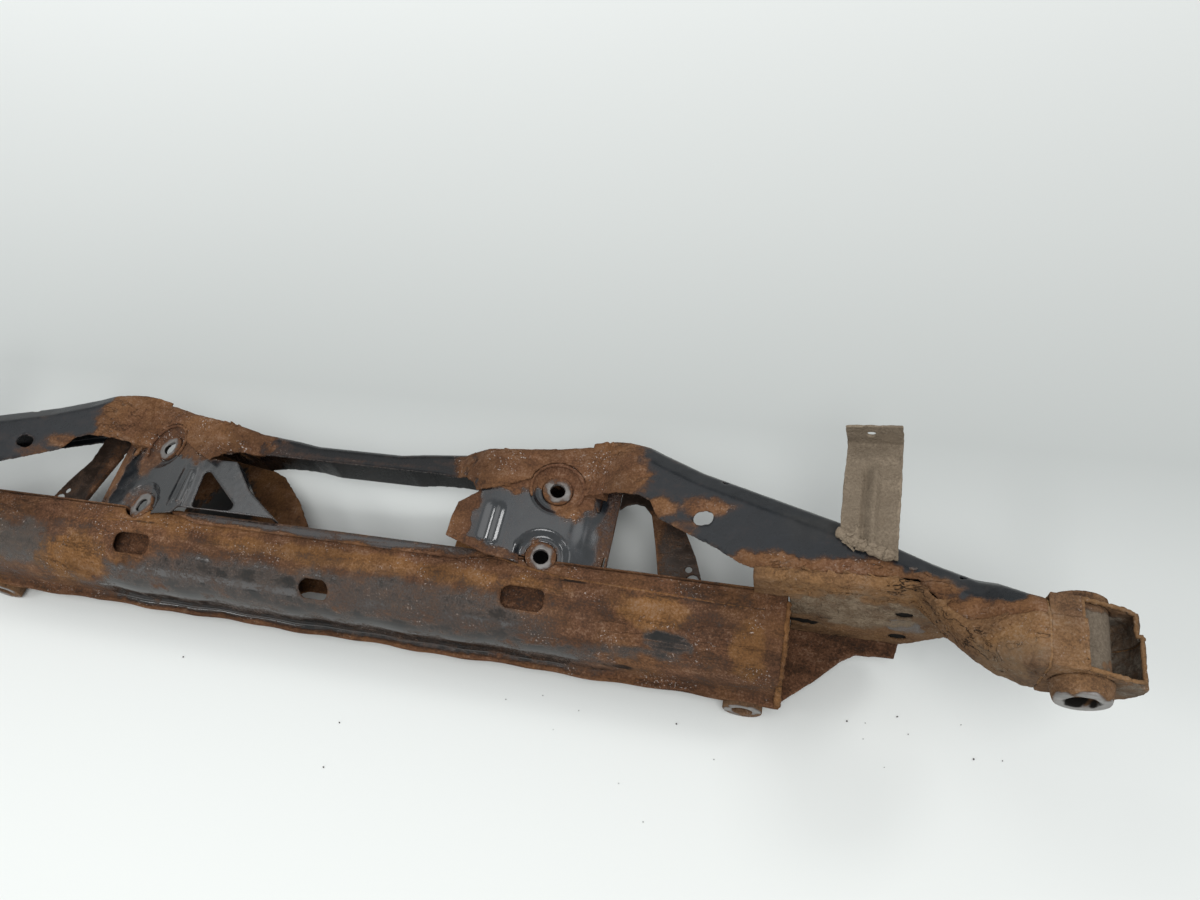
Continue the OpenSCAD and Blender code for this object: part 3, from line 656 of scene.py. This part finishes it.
left_tower = pressing("left_tower_plate", 0.8, 10)
eased(left_tower, (-168, -16, 80), (-138, 30, 125), RIB_SOFTEN)
left_tower_rust = [
    ((-150, 46, 105), (48, 20, 30), 0.82),    # below the upper beam's wing
    ((-205, 52, 95), (36, 18, 30), 0.8),      # above the upper seat
    ((-236, 15, 84), (9, 60, 40), 0.62),      # the outer edge
    ((-198, -12, 92), (14, 12, 20), 0.46),    # round the lower boss
    ((-204, 30, 92), (14, 18, 20), 0.62),     # below the upper seat
]
weather(left_tower, (0.10, left_tower_rust), (0.16, []), scab=0.5, most=60000)
left_tower.data.materials.append(tower_paint)

# Pivot bosses: thick turned rings welded into the dished seats, worn bare where the links
# are clamped against them and rusted round the weld.
BOSS_X = 188.5
UPPER_BOSS_Y, LOWER_BOSS_Y = 41.6, -18.4
boss_steel = weathered_steel("boss_steel", (0.20, 0.19, 0.18), 0.36, TOWER_RUST, salt=0.6)
boss_steel.node_tree.nodes["Principled BSDF"].inputs["Metallic"].default_value = 0.25
for side, sign in SIDES:
    for level, y in (("upper", UPPER_BOSS_Y), ("lower", LOWER_BOSS_Y)):
        boss = pressing(f"{side}_{level}_pivot_boss", 0.7, 2)
        worn_face = ((sign * BOSS_X, y, 90), (10, 10, 8), 0.05)
        # Painted shade: the inside of the boss's bore is painted black.
        painted_bore_shade = ((sign * BOSS_X, y, 84), (8, 8, 7), 1.0)
        weather(boss, (0.62, [worn_face]), painted_shade=(0.0, [painted_bore_shade]), scab=0.5)
        boss.data.materials.append(boss_steel)

# Front tower gussets: flat sheets on the far side that carry the upper beam on the lower one.
# They are welded all round and have rusted dark brown.
gusset_rust = weathered_steel("gusset_dark_rust", (0.008, 0.007, 0.006), 0.5, BROWN_RUST, salt=0.2,
                              cracks=0.15, glint=0.2)
for side, sign in SIDES:
    gusset = pressing(f"{side}_tower_gusset", 1.6, 3)
    kept_paint = ((sign * 165, 10, 10), (42, 46, 30), 0.05)
    weather(gusset, (0.72, [kept_paint]), warm=(0.5, []), scab=0.5)
    gusset.data.materials.append(gusset_rust)

# Upper beam: an arched channel with a wing at each end that laps the tower plates.
# The paint is still glossy black along the arch, and the wings are rust from edge to edge.
# Lumpy welds run round the upper seats and fill the step between each wing and its arm.


def flakes(piece, centre, reach, count, size, seed):
    """Scales of rust that stand off the sheet: thin, tilted, uneven plates on its surface; mm."""
    chance = random.Random(seed)
    mesh = piece.data
    middle, spans = Vector(centre), Vector(reach)
    near = [v for v in mesh.vertices if all(abs(v.co[k] / MM - middle[k]) < spans[k] for k in range(3))]
    spots = [(v.co.copy(), v.normal.copy()) for v in chance.sample(near, min(count, len(near)))]
    shape = bmesh.new()
    shape.from_mesh(mesh)
    for at, up in spots:
        along = (Vector((1, chance.uniform(-0.5, 0.5), 0)) - up * up.x).normalized()
        side = up.cross(along)
        broad = size * MM * chance.uniform(0.4, 1.0)
        tilt = chance.uniform(0.0, 0.10) * chance.choice((-1, 1))
        thick = chance.uniform(0.15, 0.45) * MM
        corners = chance.choice((5, 6, 7))
        top, low = [], []
        for k in range(corners):
            turn = FULL_TURN * (k + chance.uniform(-0.3, 0.3)) / corners
            u = 1.5 * broad * np.cos(turn) * chance.uniform(0.7, 1.1)
            w = 0.8 * broad * np.sin(turn)
            flat = at + along * u + side * w
            top.append(shape.verts.new(flat + up * (thick + abs(tilt) * broad * 0.6 + tilt * w)))
            low.append(shape.verts.new(flat - up * 0.8 * MM))
        shape.faces.new(top)
        for k in range(corners):
            n = (k + 1) % corners
            shape.faces.new((low[k], low[n], top[n], top[k]))
        shape.faces.new(low[::-1])
    bmesh.ops.triangulate(shape, faces=[f for f in shape.faces if len(f.verts) > 4])
    shape.to_mesh(mesh)
    shape.free()


upper = pressing("upper_beam", 1.3, 4)
for side, sign in SIDES:
    flakes(upper, (sign * 165, 56, 100), (56, 22, 20), 40, 2.8, 7 + sign)
rusty_wings = [((-166, 60, 100), (76, 60, 60), 0.92), ((172, 60, 100), (64, 60, 60), 0.92)]
weather(upper, (0.04, rusty_wings), warm=(0.5, []), scab=0.6)
upper_paint = weathered_steel("upper_beam_gloss_black", (0.006, 0.0065, 0.0075), 0.26, TOWER_RUST,
                              salt=0.9, cracks=0.2, glint=0.16)
upper.data.materials.append(upper_paint)

SEAT_RADIUS = 22
SEAT_FACE = 94.6
TOWER_TURN_COS, TOWER_TURN_SIN = 0.9703, 0.2419
seam_outline = [(209, 90.6), (227.5, 97.8), (229, 84), (209, 88.2)]
SEAM_ENDS = (40, 90.5)
SEAM_CRACK_X = 220


def torn_seam(points):
    """An old crack runs down the weld, and the sheet has lifted beside it."""
    x, y = abs(points[:, 0]) / MM, points[:, 1] / MM
    off = x - (SEAM_CRACK_X + 2.4 * np.sin(y / 6.0) + 0.08 * (y - 68))
    shift = np.zeros_like(points)
    shift[:, 2] = (-2.0 * np.exp(-(off / 1.1) ** 2) + 1.2 * np.exp(-((off + 3) / 2.4) ** 2)) * MM
    return shift


for side, sign in SIDES:
    ring = []
    for turn in np.radians(range(-30, 211, 10)):
        u, v = SEAT_RADIUS * np.cos(turn), SEAT_RADIUS * np.sin(turn)
        out = sign * (BOSS_X + TOWER_TURN_COS * u)
        ring.append((out, UPPER_BOSS_Y + v, SEAT_FACE - TOWER_TURN_SIN * u))
    seat_weld = bead(f"{side}_seat_weld", ring, 1.4, 21 + sign)
    weather(seat_weld, (0.9, []), scab=0.5)
    seat_weld.data.materials.append(upper_paint)
    ends = [[(sign * x, y, z) for x, z in seam_outline] for y in SEAM_ENDS]
    seam_weld = prism(f"{side}_seam_weld", *ends, "upper_paint", 1.0, 3)
    flakes(seam_weld, (sign * 218, 64, 95), (9, 20, 10), 12, 2.4, 31 + sign)
    weather(seam_weld, (0.92, []), warm=(0.5, []), scab=0.5, waves=torn_seam)
    seam_weld.data.materials.append(upper_paint)

# Uprights: folded struts between the lower beam and the arm's roof, dark with old paint and rust.
# Their heads arch over to the towers, and two small holes sit beside each foot.
upright_rust = weathered_steel("upright_dark_rust", (0.018, 0.016, 0.014), 0.34, BROWN_RUST)
for side, sign in SIDES:
    upright = pressing(f"{side}_upright", 1.1, 3)
    rusty_edge = ((sign * 268, 0, 60), (10, 60, 20), 0.55)
    weather(upright, (0.36, [rusty_edge]), (0.12, []), scab=0.4)
    upright.data.materials.append(upright_rust)

# Arms: an upper shell with a bevelled top, pressed from one sheet, that sweeps out and down
# from the tower. It is welded over the lower shell's flange, where the rust is deepest.
arm_paint = weathered_steel("arm_blue_black_paint", (0.0085, 0.0105, 0.0135), 0.27, TOWER_RUST,
                            cracks=0.4, salt=0.4, fade=0.26, glint=0.22)
arm_rust = [
    ((236, 60, 95), (26, 70, 80), 0.85),      # beside the wing
    ((276, 24, 114), (20, 8, 14), 0.62),      # the edge over the upright
    ((300, 8, 118), (14, 8, 10), 0.4),
    ((372, -17, 127), (34, 11, 16), 0.92),    # along the flange and into the housing
    ((412, -20, 133), (30, 11, 16), 0.92),
    ((441, -19, 137), (30, 11, 16), 0.92),
    ((470, -27, 142), (26, 13, 16), 0.92),
    ((496, -44, 149), (22, 13, 18), 0.92),
    ((520, -50, 164), (20, 12, 26), 0.92),
    ((545, -44, 160), (16, 20, 40), 0.9),
]
right_hole_rust = ((318, 27, 120), (20, 9, 10), 0.66)
arm_mud = [((400, 14, 128), (26, 14, 12), 0.2)]
flange_spots = ((372, -16, 127), (412, -18, 133), (452, -20, 140), (500, -44, 152))


def mirrored(patches, sign):
    """Patches given for the right side, moved to the left where the sign is -1."""
    return [((sign * x, y, z), reach, amount) for (x, y, z), reach, amount in patches]


for side, sign in SIDES:
    arm = pressing(f"{side}_arm_upper_shell", 1.4, 5)
    arm_patches = mirrored(arm_rust, sign)
    if side == "right":
        arm_patches.append(right_hole_rust)
    for x, y, z in flange_spots:
        flakes(arm, (sign * x, y, z), (24, 8, 14), 16, 3.4, x + sign)
    # The arm's top faces are lightened with dust that is partly painted sheen.
    weather(arm, (0.04, arm_patches), (0.06, mirrored(arm_mud, sign)), (0.5, []), scab=0.7,
            dust_and_painted_sheen=0.35, most=52000)
    arm.data.materials.append(arm_paint)

# Arm floors: the lower shells, each a flat pad with a flange that dips into the end housing and
# a weld nut above each of the pad's holes. Years of road salt have split the sheet into layers.
FLAKY_RUST = ((0.018, 0.011, 0.007), (0.070, 0.038, 0.022), (0.150, 0.080, 0.043),
              (0.235, 0.125, 0.052), (0.32, 0.235, 0.165))
BROWN_MUD = ((0.135, 0.098, 0.064), (0.235, 0.178, 0.122))
flaky_rust = weathered_steel("arm_flaky_rust", (0.13, 0.125, 0.12), 0.5, FLAKY_RUST, BROWN_MUD,
                             cracks=1.0, salt=0.3, streaks=(0.22, 1, 1))
PAD_HOLE_X = 465
PAD_HOLE_HEIGHTS = (87.5, 43.7)
NUT_RADIUS = 9
NUT_ENDS = (-24.8, -16)
floor_scales = ((400, -26, 128, 70), (440, -24, 136, 50), (425, -28, 95, 40), (490, -46, 146, 30),
                (520, -68, 150, 40))
floor_rust = [((468, -27, 66), (16, 5, 15), 0.30)]
floor_mud = [((430, -27, 85), (60, 6, 34), 0.52), ((525, -75, 130), (40, 14, 60), 0.40)]
floor_warm = [((440, -24, 100), (80, 12, 50), 0.6), ((520, -70, 155), (24, 14, 30), 0.8)]
# Painted shade: two dark spots on the pad, a strong one near its inner end and a faint one by the
# housing.
floor_painted_shade = [((392, -27, 53), (13, 5, 5), 1.0), ((500, -60, 158), (5, 4, 8), 0.4)]
for side, sign in SIDES:
    floor = pressing(f"{side}_arm_lower_shell", 1.2, 3)
    for x, y, z, many in floor_scales:
        flakes(floor, (sign * x, y, z), (34, 14, 24), many, 3.8, x + many + sign)
    weather(floor, (0.92, mirrored(floor_rust, sign)), (0.08, mirrored(floor_mud, sign)),
            (0.45, mirrored(floor_warm, sign)), (0.0, mirrored(floor_painted_shade, sign)), scab=0.9)
    floor.data.materials.append(flaky_rust)
    for z in PAD_HOLE_HEIGHTS:
        turns = [FULL_TURN * k / 6 for k in range(6)]
        hexagon = [(NUT_RADIUS * np.cos(turn), NUT_RADIUS * np.sin(turn)) for turn in turns]
        ends = [[(sign * PAD_HOLE_X + u, y, z + w) for u, w in hexagon] for y in NUT_ENDS]
        nut = prism(f"{side}_pad_nut_{z:.0f}", *ends, "arm_rust", 0.8, 2)
        # The nuts are painted black all over, as shade inside the pad's holes.
        weather(nut, (0.3, []), painted_shade=(1.0, []), scab=0.4)
        nut.data.materials.append(gusset_rust)

# End housings: a pressed cap above and a pan below that hold the outer sleeve, open at the mouth.
# Weld runs join them to the arm and to each other, and thick orange rust covers them.
end_rust = weathered_steel("housing_orange_rust", (0.030, 0.026, 0.023), 0.5, FLAKY_RUST,
                           cracks=0.25, salt=0.3)
housing_mud = [((585, -60, 150), (30, 30, 24), 0.5)]
# Painted shade: a faint darkening inside the housing, below the outer sleeve.
housing_painted_shade = [((586, -60, 142), (16, 24, 14), 0.3)]
housing_runs = {
    "seam": [
        (541, -80.4, 140), (541, -80.4, 176), (541, -77, 178.5), (541, -50.5, 178.5),
        (541, -47.5, 175.8), (541, -39.5, 173), (541, -35.6, 166), (541, -35.6, 136)],
    "mouth_rim": [
        (560.5, -80.2, 178), (560.5, -76, 178.7), (560.5, -51, 178.7), (560, -48, 176.2),
        (560, -36, 176.2), (578, -35.4, 169.2), (588, -35.4, 165.3), (593.3, -37, 162.8),
        (593.3, -50.5, 162.8), (596, -50.5, 163), (596, -79, 163), (590, -80.6, 166.8),
        (561, -80.6, 178.4)],
    "nose_seam": [
        (596.8, -51, 163), (598.2, -51, 154.5), (595, -51, 142.5), (586, -51, 133.5),
        (574, -51, 130.3)],
}


def on_side(path, sign):
    """A path given for the right side, moved to the left where the sign is -1."""
    return [(sign * x, y, z) for x, y, z in path]


for side, sign in SIDES:
    for half in ("cap", "pan"):
        shell = pressing(f"{side}_end_{half}", 1.0, 4)
        weather(shell, (0.90, []), (0.18, mirrored(housing_mud, sign)), (0.45, []),
                (0.0, mirrored(housing_painted_shade, sign)), scab=0.8)
        shell.data.materials.append(end_rust)
    for name, path in housing_runs.items():
        run = bead(f"{side}_housing_{name}", on_side(path, sign), 1.5, len(path) + sign)
        weather(run, (0.9, []), (0.2, []), (0.7, []), scab=0.4)
        run.data.materials.append(end_rust)

# End gussets: flat sheets below the pads, welded to the lower beam's ends and rusted dark brown.
# A thick weld runs down the edge of each end of the beam.
beam_end_path = [(383, -28, 90), (383.5, -46, 89), (383.5, -60, 84), (383, -74, 73), (382, -84, 56),
                 (382, -88.5, 44), (381.5, -90, 30)]
for side, sign in SIDES:
    end_gusset = pressing(f"{side}_end_gusset", 1.4, 3)
    weather(end_gusset, (0.62, []), warm=(0.15, []), scab=0.6)
    end_gusset.data.materials.append(gusset_rust)
    beam_end = bead(f"{side}_beam_end_weld", on_side(beam_end_path, sign), 2.7, 60 + sign)
    weather(beam_end, (0.85, []), warm=(0.6, []), scab=0.6)
    beam_end.data.materials.append(plate_rust)

# Body-mount sleeves: thick turned tubes for the bolts that hold the part to the body.
# Their lower ends are clamped bare and grey, dried mud covers the tubes and rust the upper rings.
TUBE_MUD = ((0.105, 0.082, 0.060), (0.185, 0.150, 0.112))
sleeve_steel = weathered_steel("sleeve_steel", (0.20, 0.19, 0.18), 0.42, FLAKY_RUST, TUBE_MUD,
                               cracks=0.2, salt=0.3)
OUTER_X, OUTER_Z = 563, 154.5
INNER_X, INNER_Z = 355, 20
for side, sign in SIDES:
    outer = pressing(f"{side}_outer_mount_sleeve", 0.9, 3)
    clamped = ((sign * OUTER_X, -97, OUTER_Z), (40, 5, 40), 0.0)
    muddy = ((sign * OUTER_X, -58, OUTER_Z), (30, 22, 30), 1.0)
    # Painted shade: the sleeve's bore is painted black along its length.
    painted_sleeve_bore_shade = ((sign * OUTER_X, -60, OUTER_Z), (10.5, 90, 10.5), 1.0)
    weather(outer, (0.85, [clamped]), (0.15, [muddy, clamped]), painted_shade=(0.0, [painted_sleeve_bore_shade]), scab=0.4)
    outer.data.materials.append(sleeve_steel)
    inner = pressing(f"{side}_inner_mount_sleeve", 1.0, 3)
    foot, foot_reach = (sign * INNER_X, -96, INNER_Z), (30, 2.6, 30)
    weather(inner, (0.8, [(foot, foot_reach, 0.1)]), (0.2, [(foot, foot_reach, 0.0)]), scab=0.5)
    inner.data.materials.append(sleeve_steel)

# Hose brackets: straps bent from 2.5 mm steel, creased down the middle, with a tab and a screw
# hole at the top, welded to the arm's bevel. A thick coat of dry grey-brown mud covers them.
BRACKET_MUD = ((0.165, 0.128, 0.090), (0.275, 0.222, 0.162))
bracket_mud = weathered_steel("bracket_dry_mud", (0.05, 0.045, 0.04), 0.6, FLAKY_RUST, mud=BRACKET_MUD)
CREASE_X, VALLEY_X = 436, 429.8
CREASE_TOP = 70
thin_mud = [((436, 72, 145), (40, 5, 20), 0.62)]
# Painted shade: a dark line down the valley of the crease.
crease_painted_shade = [((429, 30, 140), (1.6, 44, 20), 0.3)]
foot_path = [(412, 12, 135), (424, 4, 137.5), (438, -2, 139), (452, -6, 141)]


def crease(points):
    """The strap is folded a little along its middle, below the tab."""
    x, y = abs(points[:, 0]) / MM, points[:, 1] / MM
    shift = np.zeros_like(points)
    fold = 4.6 * np.exp(-((x - CREASE_X) / 3.6) ** 2) - 3.2 * np.exp(-((x - VALLEY_X) / 2.2) ** 2)
    shift[:, 2] = fold * np.clip((CREASE_TOP - y) / 10, 0, 1) * MM
    return shift


for side, sign in SIDES:
    bracket = pressing(f"{side}_hose_bracket", 0.9, 4)
    weather(bracket, (0.5, []), (1.1, mirrored(thin_mud, sign)), painted_shade=(0.0, mirrored(crease_painted_shade, sign)),
            scab=0.6, waves=crease)
    bracket.data.materials.append(bracket_mud)
    foot_mud = bead(f"{side}_bracket_foot_mud", on_side(foot_path, sign), 4.2, 80 + sign)
    flakes(foot_mud, (sign * 430, 4, 138), (30, 16, 12), 46, 2.6, 90 + sign)
    weather(foot_mud, (0.5, []), (0.9, []), scab=1.6)
    foot_mud.data.materials.append(bracket_mud)
